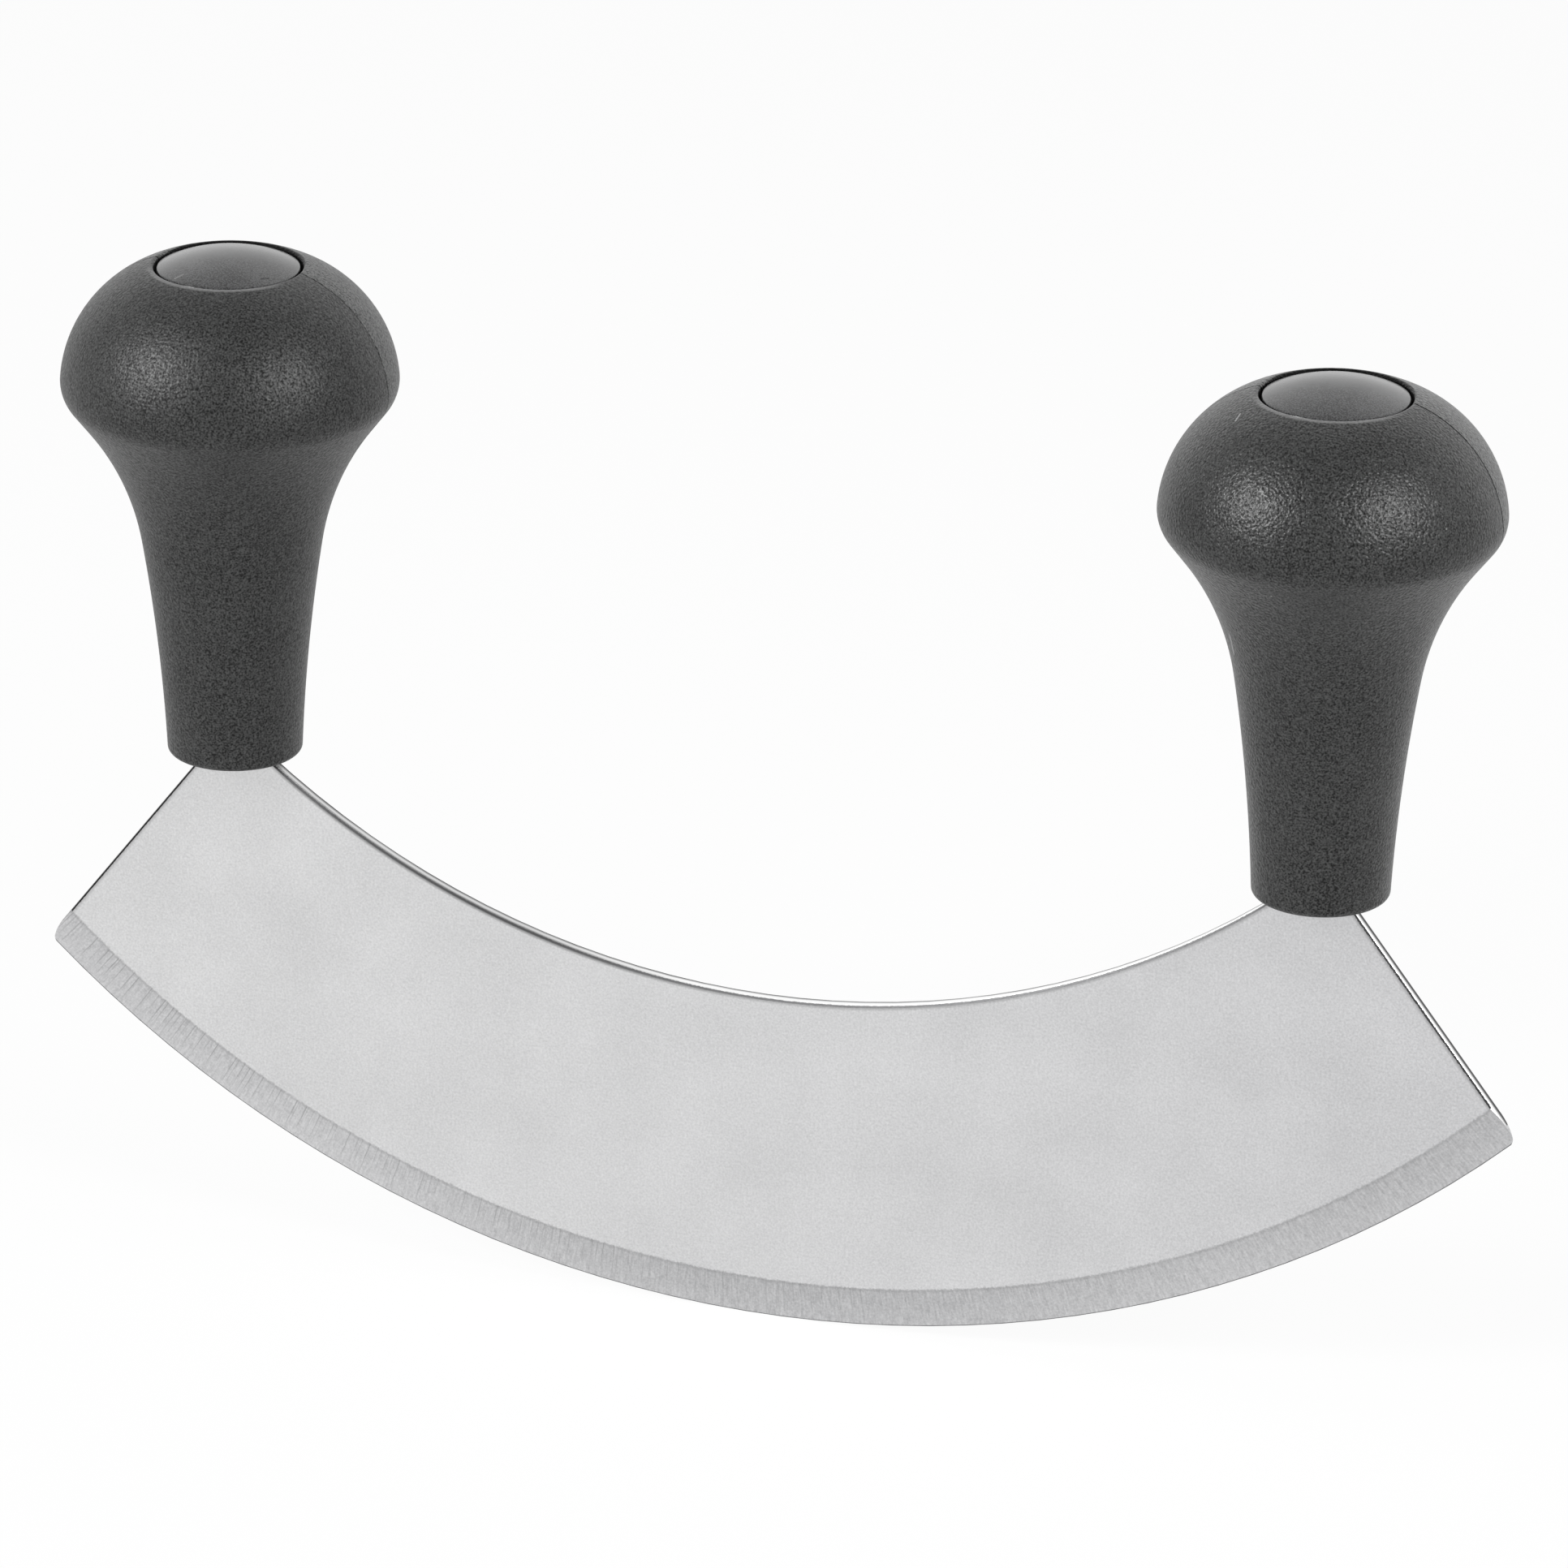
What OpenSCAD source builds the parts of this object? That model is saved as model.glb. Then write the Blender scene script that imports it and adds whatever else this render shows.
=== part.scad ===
// Mezzaluna: a rocking knife with one crescent blade and a knob handle at each end.
// X runs along the blade, Y through its thickness and Z up. The origin is at the
// lowest point of the cutting edge, in the middle of the sheet.

/* [Blade] */
// Radius of the cutting edge
edge_radius = 139.3; // [120:0.1:170]
// Depth of the blade at its middle, from the cutting edge to the spine
blade_depth = 43.1; // [34:0.1:50]
// Thickness of the sheet
sheet = 1.6; // [1.2:0.1:2.5]
// Width of the ground bevel on each face, measured along the radius
bevel_width = 5.2; // [3:0.1:8]
// Thickness that the grinding leaves at the cutting edge
edge_land = 0.1; // [0.05:0.01:0.3]
// Lean of each straight end, inwards from the vertical
end_angle = 37.9; // [30:0.1:45]
// Width of the blade where it meets the foot of a handle
horn_width = 7.2; // [6.5:0.1:12]
// Shift of that width from the axis of the handle, towards the middle of the blade
horn_shift = 0.4; // [0:0.1:0.6]
// Length over which each tip draws in from its straight end
tip_length = 3.1; // [2.2:0.1:4.5]
// Radius of the wide sweep at the start of each tip
tip_sweep = 8; // [5:0.1:12]
// Radius that turns each tip into the cutting edge
tip_round = 1.1; // [0.6:0.1:1.8]
// Width of the broken edges along the spine and the ends
edge_break = 0.25; // [0.1:0.05:0.4]

/* [Tangs] */
// Width of each tang
tang_width = 5.4; // [4:0.1:5.6]
// Step from the face of the sheet to the face of the tang
tang_step = 0.1; // [0.05:0.05:0.3]
// Radius of the peened end of each tang
peen_radius = 3.8; // [3.5:0.1:5]
// Height of the peened end of each tang
peen_height = 1.4; // [0.8:0.1:2]

/* [Handles] */
// Distance between the axes of the two handles
handle_spacing = 140; // [120:1:160]
// Height of the foot of each handle above the cutting edge
foot_level = 66.5; // [58:0.1:75]
// Radius of the foot, where the handle meets the blade
foot_radius = 8.4; // [7:0.1:10]
// Rounding around the foot
foot_round = 0.8; // [0.4:0.1:2]
// Lean of the wall just above the foot, outwards from the vertical
foot_taper = 2.5; // [1:0.1:4]
// Lean of the wall where the neck ends and the flare begins
neck_taper = 9.1; // [7:0.1:12]
// Radius of the long hollow sweep of the neck
neck_sweep = 237; // [200:1:280]
// Radius of the hollow flare under the head
flare_radius = 34; // [28:0.1:40]
// Lean of the underside of the head
underside_angle = 37.7; // [32:0.1:45]
// Length of the straight stretch of the underside
underside_length = 3.2; // [1:0.1:6]
// Radius of the turn around the widest part of the head
turn_radius = 4.8; // [3:0.1:7]
// Angle above the widest part at which the crown takes over from the turn
crown_start = 5.2; // [2:0.1:15]
// Radius of the crown
crown_radius = 16.4; // [14.5:0.1:19]

/* [Head hole and cap] */
// Radius of the hole in the top of the head
hole_radius = 9.15; // [8.8:0.05:10.5]
// Radius that rounds the rim of the hole
hole_round = 0.4; // [0.2:0.05:0.8]
// Depth of the ledge that the cap rests on
ledge_depth = 2.6; // [1.8:0.1:4]
// Radius of the core below the ledge
core_radius = 7.4; // [6.8:0.1:8]
// Depth of the core from the rim of the hole to the web that carries the washer
core_depth = 30; // [24:0.5:36]
// Draft of the core, as the loss of radius from the ledge to the web
core_draft = 0.4; // [0.2:0.05:0.8]
// Rise of the domed cap from its edge to its middle
cap_rise = 1.8; // [0.8:0.1:2.2]
// Rounding around the edge of the cap
cap_round = 0.35; // [0.2:0.05:0.8]
// Drop of the edge of the cap below the rim of the hole
cap_drop = 0.1; // [0.05:0.05:0.4]
// Length of the skirt under the cap
skirt_length = 5; // [3:0.1:8]
// Wall of the skirt
skirt_wall = 1.2; // [0.8:0.1:2]
// Thickness of the washer
washer_thickness = 1.2; // [0.8:0.1:2]

/* [Clearances] */
// Gap between the cap and the wall of its hole
cap_gap = 0.32; // [0.15:0.01:0.5]
// Gap between the skirt of the cap and the core
skirt_gap = 0.1; // [0.05:0.01:0.2]
// Gap between the washer and the core
washer_gap = 0.5; // [0.2:0.05:1]
// Gap on each side of the tang in the handle and in the washer
tang_gap = 0.15; // [0.05:0.01:0.3]

/* [Hidden] */

$fn = 96;
// Largest distance between a drawn arc and its straight pieces
arc_sag = 0.01;
// How far a cutting solid reaches past what it cuts
reach = 2;
// How far a hidden part of the blade reaches into the rest of it
overlap = 2;
// Room left inside the spine, and beyond the ends, in the blank that is cut to shape
blank_margin = 12;
// How far the rounding of a tip stands outside the cutting edge, so that they cross cleanly
tip_cross = 0.04;

LEFT = -1;
RIGHT = 1;

horn_centre = handle_spacing / 2 - horn_shift;
horn_inner = horn_centre - horn_width / 2;
horn_outer = horn_centre + horn_width / 2;
// The spine is the arc through its lowest point and the inner corners of both horns
spine_rise = foot_level - blade_depth;
spine_radius = (horn_inner * horn_inner + spine_rise * spine_rise) / (2 * spine_rise);
spine_z = blade_depth + spine_radius;
tang_thickness = sheet - 2 * tang_step;
flat_radius = edge_radius - bevel_width;
blank_radius = edge_radius - blade_depth - blank_margin;

// Centre of the cutting edge in the frame of an end: outwards from the end, then up along it
drop_to_horn = edge_radius - foot_level;
edge_centre = [
  drop_to_horn * sin(end_angle) - horn_outer * cos(end_angle),
  drop_to_horn * cos(end_angle) + horn_outer * sin(end_angle)
];
// Length of a straight end from its horn to where it would meet the cutting edge
end_length = sqrt(edge_radius * edge_radius - edge_centre[0] * edge_centre[0]) - edge_centre[1];
tip_x = horn_outer + end_length * sin(end_angle);
blank_half_angle = asin(tip_x / edge_radius) + blank_margin;

// Outward direction, in radius and height, of a wall that leans out by an angle
function wall_normal(lean) = [cos(lean), -sin(lean)];

// Number of straight pieces that keeps an arc within arc_sag
function arc_steps(radius, sweep) =
  max(2, ceil(abs(sweep) / (2 * acos(1 - arc_sag / radius))));

// Points along an arc without its first point, so that arcs join end to end
function arc(centre, radius, start, end) =
  let (steps = arc_steps(radius, end - start))
  [for (i = [1:steps])
    let (angle = start + (end - start) * i / steps)
    centre + radius * [cos(angle), sin(angle)]];

foot_centre = [foot_radius - foot_round, foot_round];
neck_start = foot_centre + foot_round * wall_normal(foot_taper);
neck_centre = neck_start + neck_sweep * wall_normal(foot_taper);
neck_end = neck_centre - neck_sweep * wall_normal(neck_taper);
flare_centre = neck_end + flare_radius * wall_normal(neck_taper);
flare_end = flare_centre - flare_radius * wall_normal(underside_angle);
turn_start = flare_end + underside_length * [sin(underside_angle), cos(underside_angle)];
turn_centre = turn_start - turn_radius * wall_normal(underside_angle);
crown_centre = turn_centre - (crown_radius - turn_radius) * wall_normal(-crown_start);
// The rounded rim leaves the crown where both have the same slope, and ends on the wall of the hole
rim_x = hole_radius + hole_round;
crown_end = acos((rim_x - crown_centre[0]) / (crown_radius - hole_round));
rim_centre = [rim_x, crown_centre[1] + (crown_radius - hole_round) * sin(crown_end)];
rim_level = rim_centre[1] + hole_round;
ledge_level = rim_level - ledge_depth;
web_level = rim_level - core_depth;
core_floor_radius = core_radius - core_draft;

cap_radius = hole_radius - cap_gap;
dome_reach = cap_radius - cap_round;
dome_core_radius = (dome_reach * dome_reach + cap_rise * cap_rise) / (2 * cap_rise);
dome_radius = dome_core_radius + cap_round;
cap_edge_level = rim_level - cap_drop;
washer_radius = core_floor_radius - washer_gap;

// Radius of the drafted core at a depth below the ledge
function core_radius_at(depth) =
  core_radius - core_draft * depth / (core_depth - ledge_depth);

// Places a solid of a handle on the left or right end of the blade
module on_end(side) {
  translate([side * handle_spacing / 2, 0, foot_level])
    children();
}

// Turns a solid made around Z into one around Y, with its zero angle along X
module around_y() {
  rotate([90, 0, 0])
    children();
}

// Ring of sheet with the bevel ground on both faces
module ground_blank() {
  half = sheet / 2;
  land = edge_land / 2;
  translate([0, 0, edge_radius])
    around_y()
      rotate([0, 0, 270 - blank_half_angle])
        rotate_extrude(angle = 2 * blank_half_angle)
          polygon([
            [blank_radius, -half],
            [flat_radius, -half],
            [edge_radius, -land],
            [edge_radius, land],
            [flat_radius, half],
            [blank_radius, half]
          ]);
}

// Disc that cuts the spine and breaks its edges
module spine_cut() {
  half = sheet / 2;
  flare = spine_radius + edge_break + reach;
  translate([0, 0, spine_z])
    around_y()
      rotate_extrude()
        polygon([
          [0, -half - reach],
          [flare, -half - reach],
          [spine_radius, edge_break - half],
          [spine_radius, half - edge_break],
          [flare, half + reach],
          [0, half + reach]
        ]);
}

// Bar that cuts one straight end and breaks its edges, in the frame of that end
module end_cut() {
  half = sheet / 2;
  length = 2 * (end_length + blank_margin);
  linear_extrude(height = length, center = true)
    polygon([
      [0, edge_break - half],
      [-edge_break - reach, -half - reach],
      [blank_radius, -half - reach],
      [blank_radius, half + reach],
      [-edge_break - reach, half + reach],
      [0, half - edge_break]
    ]);
}

// Corner of sheet outside the rounding of one tip, in the frame of that end. A wide sweep
// leaves the straight end, and a tighter round turns from it into the cutting edge.
module tip_cut() {
  sweep_centre = [-tip_sweep, tip_length - end_length];
  to_edge_centre = edge_centre - sweep_centre;
  apart = norm(to_edge_centre);
  sweep_reach = tip_sweep - tip_round;
  edge_reach = edge_radius - tip_round + tip_cross;
  // The triangle of the three centres gives the angle at which the round takes over
  cosine = (sweep_reach ^ 2 + apart ^ 2 - edge_reach ^ 2) / (2 * sweep_reach * apart);
  join = atan2(to_edge_centre[1], to_edge_centre[0]) - acos(cosine);
  round_centre = sweep_centre + sweep_reach * [cos(join), sin(join)];
  end = atan2(round_centre[1] - edge_centre[1], round_centre[0] - edge_centre[0]);
  beyond = round_centre + (tip_round + reach) * [cos(end), sin(end)];
  around_y()
    linear_extrude(height = sheet + reach, center = true)
      polygon(concat(
        [sweep_centre + [tip_sweep, 0]],
        arc(sweep_centre, tip_sweep, 0, join),
        arc(round_centre, tip_round, join, end),
        [beyond, [reach, beyond[1]], [reach, sweep_centre[1]]]
      ));
}

// Puts the cutting solids of one end at the outer corner of its horn, along that end
module at_end(side) {
  mirror([side == LEFT ? 1 : 0, 0, 0])
    translate([horn_outer, 0, foot_level])
      rotate([0, -end_angle, 0])
        children();
}

// Tang that rises from the blade, with its end peened over the washer
module tang() {
  length = web_level + washer_thickness + peen_height / 2;
  translate([-tang_width / 2, -tang_thickness / 2, -overlap])
    cube([tang_width, tang_thickness, length + overlap]);
  translate([0, 0, web_level + washer_thickness])
    peened_end();
}

// Low button with a rounded top
module peened_end() {
  rounding = (peen_radius * peen_radius + peen_height * peen_height) / (2 * peen_height);
  sweep = asin(peen_radius / rounding);
  rotate_extrude()
    polygon(concat(
      [[0, 0], [peen_radius, 0]],
      arc([0, peen_height - rounding], rounding, 90 - sweep, 90)
    ));
}

module blade() {
  color([0.84, 0.84, 0.85]) {
    difference() {
      ground_blank();
      spine_cut();
      for (side = [LEFT, RIGHT])
        at_end(side) {
          end_cut();
          tip_cut();
        }
      translate([-edge_radius, -sheet, foot_level])
        cube([2 * edge_radius, 2 * sheet, 2 * edge_radius]);
    }
    for (side = [LEFT, RIGHT])
      on_end(side)
        tang();
  }
}

// Knob handle, turned from its outline and cored from the top, with a slot for the tang
module handle() {
  color([0.27, 0.27, 0.275])
    difference() {
      rotate_extrude()
        polygon(concat(
          [[0, 0], [foot_centre[0], 0]],
          arc(foot_centre, foot_round, -90, -foot_taper),
          arc(neck_centre, neck_sweep, 180 - foot_taper, 180 - neck_taper),
          arc(flare_centre, flare_radius, 180 - neck_taper, 180 - underside_angle),
          [turn_start],
          arc(turn_centre, turn_radius, -underside_angle, crown_start),
          arc(crown_centre, crown_radius, crown_start, crown_end),
          arc(rim_centre, hole_round, crown_end, 180),
          [
            [hole_radius, ledge_level],
            [core_radius, ledge_level],
            [core_floor_radius, web_level],
            [0, web_level]
          ]
        ));
      tang_slot(web_level);
    }
}

// Slot that lets the tang through, from below zero to above a height
module tang_slot(height) {
  slot_width = tang_width + 2 * tang_gap;
  slot_thickness = tang_thickness + 2 * tang_gap;
  translate([-slot_width / 2, -slot_thickness / 2, -reach])
    cube([slot_width, slot_thickness, height + 2 * reach]);
}

// Domed plug with a skirt that grips the core
module cap() {
  skirt_tip = core_radius_at(skirt_length) - skirt_gap;
  skirt_root = core_radius - skirt_gap;
  sweep = asin(dome_reach / dome_core_radius);
  color([0.47, 0.475, 0.475])
    rotate_extrude()
      polygon(concat(
        [
          [0, ledge_level],
          [skirt_tip - skirt_wall, ledge_level],
          [skirt_tip - skirt_wall, ledge_level - skirt_length],
          [skirt_tip, ledge_level - skirt_length],
          [skirt_root, ledge_level],
          [cap_radius, ledge_level],
          [cap_radius, cap_edge_level - cap_round]
        ],
        arc([dome_reach, cap_edge_level - cap_round], cap_round, 0, 90 - sweep),
        arc([0, cap_edge_level + cap_rise - dome_radius], dome_radius, 90 - sweep, 90)
      ));
}

// Washer on the web inside the handle, under the peened end of the tang
module washer() {
  color([0.6, 0.6, 0.6])
    translate([0, 0, web_level])
      difference() {
        cylinder(r = washer_radius, h = washer_thickness);
        tang_slot(washer_thickness);
      }
}

blade();
on_end(LEFT) handle();  // left_handle
on_end(RIGHT) handle();  // right_handle
on_end(LEFT) cap();  // left_cap
on_end(RIGHT) cap();  // right_cap
on_end(LEFT) washer();  // left_washer
on_end(RIGHT) washer();  // right_washer
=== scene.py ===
# Looks of the mezzaluna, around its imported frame. Metres, +X along the blade, +Z up.
import math

import bpy
from mathutils import Matrix, Vector


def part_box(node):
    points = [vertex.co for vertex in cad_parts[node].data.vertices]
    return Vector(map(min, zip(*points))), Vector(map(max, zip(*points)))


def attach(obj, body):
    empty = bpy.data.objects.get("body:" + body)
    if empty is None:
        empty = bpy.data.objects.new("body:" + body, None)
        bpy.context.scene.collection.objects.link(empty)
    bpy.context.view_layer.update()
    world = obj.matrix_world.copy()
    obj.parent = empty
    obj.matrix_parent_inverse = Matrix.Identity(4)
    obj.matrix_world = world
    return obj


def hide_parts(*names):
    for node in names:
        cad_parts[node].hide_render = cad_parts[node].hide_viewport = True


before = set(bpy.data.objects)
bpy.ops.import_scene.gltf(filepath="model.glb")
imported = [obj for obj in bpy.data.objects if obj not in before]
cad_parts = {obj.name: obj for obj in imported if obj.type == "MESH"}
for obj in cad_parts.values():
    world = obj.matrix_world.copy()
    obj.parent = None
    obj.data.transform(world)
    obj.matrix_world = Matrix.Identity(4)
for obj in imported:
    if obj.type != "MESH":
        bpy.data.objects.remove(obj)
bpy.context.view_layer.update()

MM = 0.001

# Camera: where it stands, how it is turned, and the side of the photograph in pixels
CAMERA_PLACE = Vector((0.33678, -1.00468, 0.49134))
CAMERA_YAW = math.radians(18.429)
CAMERA_PITCH = math.radians(21.630)
CAMERA_ROLL = math.radians(-0.515)
PHOTO_SIDE = 1932
FOCAL_LENGTH_PIXELS = 11508.5
SENSOR_WIDTH_MM = 36

# Blade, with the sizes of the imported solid
EDGE_RADIUS = 139.3 * MM
BLADE_DEPTH = 43.1 * MM
BEVEL_WIDTH = 5.2 * MM
FLAT_RADIUS = EDGE_RADIUS - BEVEL_WIDTH
END_ANGLE = math.radians(37.9)
HORN_INNER = 66 * MM
HORN_OUTER = 73.2 * MM
EDGE_BREAK = 0.25 * MM

# Handle, from its foot up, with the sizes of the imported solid
TANG_SLOT = (2.85 * MM, 0.85 * MM)
FOOT_RADIUS = 8.4 * MM
FOOT_ROUND = 0.8 * MM
FOOT_TAPER = math.radians(2.5)
NECK_TAPER = math.radians(9.1)
NECK_SWEEP = 237 * MM
FLARE_RADIUS = 34 * MM
UNDERSIDE_ANGLE = math.radians(37.7)
UNDERSIDE_LENGTH = 3.2 * MM
TURN_RADIUS = 4.8 * MM
CROWN_START = math.radians(5.2)
CROWN_RADIUS = 16.4 * MM

# Hole in the head, core under it, and cap
HOLE_RADIUS = 9.15 * MM
HOLE_ROUND = 0.4 * MM
LEDGE_DEPTH = 2.6 * MM
CORE_RADIUS = 7.4 * MM
CORE_DEPTH = 30 * MM
CORE_DRAFT = 0.4 * MM
CAP_GAP = 0.32 * MM
CAP_RISE = 1.8 * MM
CAP_ROUND = 0.35 * MM
CAP_DROP = 0.1 * MM
SKIRT_LENGTH = 5 * MM
SKIRT_WALL = 1.2 * MM
SKIRT_GAP = 0.1 * MM

# Mould parting line on both sides of a head, with its groove in shares of the half width and depth
SEAM_HALF_WIDTH = 0.15 * MM
SEAM_DEPTH = 0.08 * MM
SEAM_LENGTH = 22 * MM
SEAM_FADE = 6 * MM
SEAM_SECTION = ((-1, 0), (-0.45, 0.6), (0, 1), (0.45, 0.6), (1, 0))

# Small marks as the two ends of each, (x, y) from the axis of its handle, and their half widths
HEAD_SCRATCH = ((-9.8 * MM, -8.6 * MM), (-9.6 * MM, -7.5 * MM))
SCRATCH_HALF_WIDTH = 0.14 * MM
CAP_SCUFF = ((-4.1 * MM, -7.1 * MM), (-3.4 * MM, -6.5 * MM))
SCUFF_HALF_WIDTH = 0.2 * MM
CAP_NICK = ((6.1 * MM, -4.4 * MM), (6.7 * MM, -3.8 * MM))
NICK_HALF_WIDTH = 0.16 * MM

# Share of a mark's half width, or of a speck's reach, that shows in full
MARK_CORE = 0.6

# Mesh fineness
ARC_STEP = math.radians(2)
SWEEP_STEP = math.radians(0.25)
COLUMN_STEP = math.radians(2.5)
SHARP_ANGLE = math.radians(28)

# Grain of the handles, haze of the caps, clouds in both, and pale specks
GRAIN_SIZE = 0.36 * MM
FINE_GRAIN_SIZE = 0.22 * MM
GRAIN_DEPTH = 0.11 * MM
GRAIN_CLOUD_SIZE = 9 * MM
HAZE_SIZE = 0.2 * MM
HAZE_DEPTH = 0.01 * MM
HAZE_CLOUD_SIZE = 4 * MM
SPECK_SIZE = 0.16 * MM
SPECK_SPACING = 7 * MM

# Edge of the hole in a head: how ragged it is, how far the painted shade of its wall reaches on the far
# side, and the width of the painted highlight on its near rim
RAGGED_SIZE = 0.7 * MM
RAGGED_REACH = 0.16 * MM
FAR_SHADE = 0.35 * MM
RIM_HIGHLIGHT_WIDTH = 1.0 * MM

# Colours of the plastic
# Near black for the pits of the grain, also used for the painted shade on the hole's wall and in the
# parting line
PLASTIC_PIT = (0.001, 0.001, 0.001, 1)
PLASTIC_TIP = (0.030, 0.031, 0.0305, 1)
PALE_SPECK = (0.20, 0.205, 0.20, 1)
# Painted reflection: a lighter band just behind the parting line of each head
PAINTED_LIGHT_BEHIND_SEAM = (0.085, 0.087, 0.086, 1)
# Painted highlight on the near rim of the hole in each head
PAINTED_RIM_HIGHLIGHT = (0.13, 0.13, 0.13, 1)
SCRATCHED = (0.28, 0.28, 0.28, 1)
CAP_LIGHT = (0.054, 0.055, 0.056, 1)
CAP_SCUFFED = (0.16, 0.16, 0.16, 1)

# Tints of the plastic's reflections: painted shade on the hole's wall and in the parting line, the nick,
# painted shade in the pits of the grain, and the plain surface
UNLIT_TINT = (0.05, 0.05, 0.05, 1)
NICK_TINT = (0.1, 0.1, 0.1, 1)
PIT_SHADE_TINT = (0.3, 0.3, 0.3, 1)
PLAIN_TINT = (1.0, 1.0, 1.0, 1)

# Grain and clouds of the sheet, the ragged border of its bevel, and the marks and scratches across it
SATIN_SIZE = 0.28 * MM
SATIN_DEPTH = 0.008 * MM
SHEET_CLOUD_SIZE = 14 * MM
BORDER_SIZE = 0.3 * MM
BORDER_REACH = 0.5 * MM
GRINDING_SIZE = 0.3 * MM
GRINDING_STRETCH = 0.12
SCRATCH_SPACING = 0.75 * MM
SCRATCH_WAVE_SIZE = 1.2 * MM
SCRATCH_WAVE_REACH = 0.12 * MM

# Cut edges of the sheet: how deep the cut shows, how wavy it is, and how far the painted shade reaches
# inside the broken edge
CUT_DEPTH = 0.1 * MM
CUT_WAVE_REACH = 0.12 * MM
INSIDE_SHADE = 0.45 * MM

# Clouds of the washers' steel
WASHER_CLOUD_SIZE = 1.5 * MM
WASHER_DEPTH = 0.01 * MM

# Colours of the steel, with a dark and a light one for either end of its face, the right end darker as
# painted reflection
GROUND_DARK = (0.40, 0.40, 0.407, 1)
GROUND_LIGHT = (0.66, 0.66, 0.667, 1)
GROUND_SCRATCH = (0.2, 0.2, 0.203, 1)
EDGE_LINE = (0.16, 0.16, 0.165, 1)
# Face: darker at the right end and lifted in the middle, as painted reflection
FACE_LEFT = ((0.57, 0.57, 0.573, 1), (0.76, 0.76, 0.763, 1))
FACE_RIGHT = ((0.49, 0.49, 0.498, 1), (0.69, 0.69, 0.7, 1))
FACE_LIFT = (0.95, 0.95, 0.95, 1)
# Painted shade along the cut edges, also used on the broken edges and on the front of the cut on the left
PAINTED_EDGE_SHADE = (0.12, 0.12, 0.122, 1)
# Painted dark reflection on the broken edges: paler along the right of the spine, black at the two ends
PAINTED_PALE_EDGE_SHADE = (0.2, 0.2, 0.203, 1)
BLACK_EDGE = (0.015, 0.015, 0.0153, 1)
# The cut: darker on the left as painted reflection, and a painted grey reflection towards its back
SHEARED_LEFT = (0.52, 0.52, 0.52, 1)
SHEARED = (0.8, 0.8, 0.8, 1)
PAINTED_GREY_REFLECTION = (0.04, 0.04, 0.041, 1)
WASHER_DARK = (0.42, 0.42, 0.42, 1)
WASHER_LIGHT = (0.56, 0.56, 0.55, 1)

# Stage: half the floor's side, its cloud and colours, and how far it shows white to the camera
FLOOR_REACH = 4.0
FLOOR_CLOUD_SIZE = 0.25
FLOOR_DARK = (0.86, 0.86, 0.86, 1)
FLOOR_LIGHT = (0.88, 0.88, 0.88, 1)
FLOOR_WHITENESS = 0.94

# Strength of the backdrop: as a light, and mirrored in front, behind and towards both sides
BACKDROP_LIGHT = 0.25
MIRRORED_FRONT = 0.6
MIRRORED_BACK = 1.22
MIRRORED_SIDES = 1.45

# Lamps as (name, azimuth, elevation, distance, size, power) in degrees, metres and watts
LAMPS = (
    ("left_front_lamp", -43, 30, 1.25, 0.39, 13.0),
    ("right_front_lamp", 62.5, 30, 0.8, 0.3, 4.0),
)

# Point that all lamps face
LAMP_TARGET = Vector((0, 0, 0.09))


# Outlines

def wall_normal(lean):
    """Outward direction, in radius and height, of a wall that leans out by an angle."""
    return Vector((math.cos(lean), -math.sin(lean)))


def arc(centre, radius, start, end, step=ARC_STEP):
    """Points along an arc without its first point, so that arcs join end to end."""
    count = max(2, math.ceil(abs(end - start) / step))
    angles = [start + (end - start) * i / count for i in range(1, count + 1)]
    return [centre + radius * Vector((math.cos(a), math.sin(a))) for a in angles]


def handle_outline():
    """Outer wall of a handle as (radius, height over the foot), from the foot to the wall of its hole."""
    foot_centre = Vector((FOOT_RADIUS - FOOT_ROUND, FOOT_ROUND))
    neck_start = foot_centre + FOOT_ROUND * wall_normal(FOOT_TAPER)
    neck_centre = neck_start + NECK_SWEEP * wall_normal(FOOT_TAPER)
    neck_end = neck_centre - NECK_SWEEP * wall_normal(NECK_TAPER)
    flare_centre = neck_end + FLARE_RADIUS * wall_normal(NECK_TAPER)
    flare_end = flare_centre - FLARE_RADIUS * wall_normal(UNDERSIDE_ANGLE)
    underside = Vector((math.sin(UNDERSIDE_ANGLE), math.cos(UNDERSIDE_ANGLE)))
    turn_start = flare_end + UNDERSIDE_LENGTH * underside
    turn_centre = turn_start - TURN_RADIUS * wall_normal(UNDERSIDE_ANGLE)
    crown_centre = turn_centre - (CROWN_RADIUS - TURN_RADIUS) * wall_normal(-CROWN_START)
    rim_reach = CROWN_RADIUS - HOLE_ROUND
    crown_end = math.acos((HOLE_RADIUS + HOLE_ROUND - crown_centre.x) / rim_reach)
    rim_centre = crown_centre + rim_reach * Vector((math.cos(crown_end), math.sin(crown_end)))
    half_turn = math.pi
    return [
        Vector((foot_centre.x, 0)),
        *arc(foot_centre, FOOT_ROUND, -half_turn / 2, -FOOT_TAPER, 4 * ARC_STEP),
        *arc(neck_centre, NECK_SWEEP, half_turn - FOOT_TAPER, half_turn - NECK_TAPER, SWEEP_STEP),
        *arc(flare_centre, FLARE_RADIUS, half_turn - NECK_TAPER, half_turn - UNDERSIDE_ANGLE),
        (flare_end + turn_start) / 2,
        turn_start,
        *arc(turn_centre, TURN_RADIUS, -UNDERSIDE_ANGLE, CROWN_START),
        *arc(crown_centre, CROWN_RADIUS, CROWN_START, crown_end),
        *arc(rim_centre, HOLE_ROUND, crown_end, half_turn, 6 * ARC_STEP),
    ]


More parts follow.
